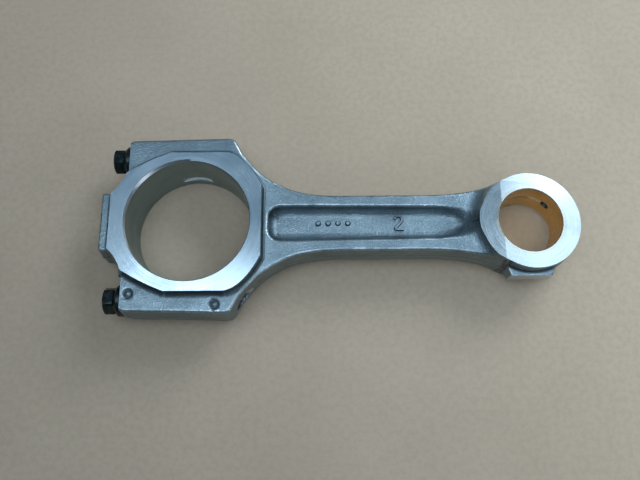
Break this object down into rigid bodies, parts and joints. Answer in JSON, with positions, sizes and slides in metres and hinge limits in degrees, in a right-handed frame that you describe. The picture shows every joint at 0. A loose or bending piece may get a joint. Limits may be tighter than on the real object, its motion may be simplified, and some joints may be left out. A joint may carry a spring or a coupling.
{
  "type": "engine connecting rod",
  "caption": "Forged I-beam connecting rod with a bolted big-end cap, ring dowels and a bushed, tapered small end.",
  "frame": {"origin": "centre of the footprint, on the surface that the rod lies on", "axes": "+X along the rod from the big end to the small end, +Z along both bore axes, +Y across, away from the small end's locating pad"},
  "size_m": [0.2986, 0.115, 0.0395],
  "materials": {
    "forged_steel": "shot-blasted forging, with ground side faces and bored bores",
    "black_oxide_steel": "black oxide, oiled",
    "ground_steel": "ground",
    "bearing_bronze": "fine bored bronze"
  },
  "bodies": {
    "rod": {"connecting_rod": "forged_steel", "small_end_bush": "bearing_bronze", "dowel_sleeve_upper": "ground_steel", "dowel_sleeve_lower": "ground_steel"},
    "cap": {"bearing_cap": "forged_steel"},
    "bolt_upper": {"cap_bolt_upper": "black_oxide_steel"},
    "bolt_lower": {"cap_bolt_lower": "black_oxide_steel"}
  },
  "joints": [
    {"name": "cap_slide", "type": "slide", "parent": "rod", "child": "cap", "axis": [-1, 0, 0], "range_m": [0, 0.033]},
    {"name": "bolt_upper_turn", "type": "hinge", "parent": "cap", "child": "bolt_upper", "pos_m": [-0.13176, 0.046, 0.01975], "axis": [-1, 0, 0], "range_deg": [0, 7920]},
    {"name": "bolt_lower_turn", "type": "hinge", "parent": "cap", "child": "bolt_lower", "pos_m": [-0.13176, -0.046, 0.01975], "axis": [-1, 0, 0], "range_deg": [0, 7920]}
  ],
  "couplings": [
    {"joint": "bolt_upper_turn", "follows": "cap_slide", "rad_per_m": 4188.8},
    {"joint": "bolt_lower_turn", "follows": "cap_slide", "rad_per_m": 4188.8}
  ]
}
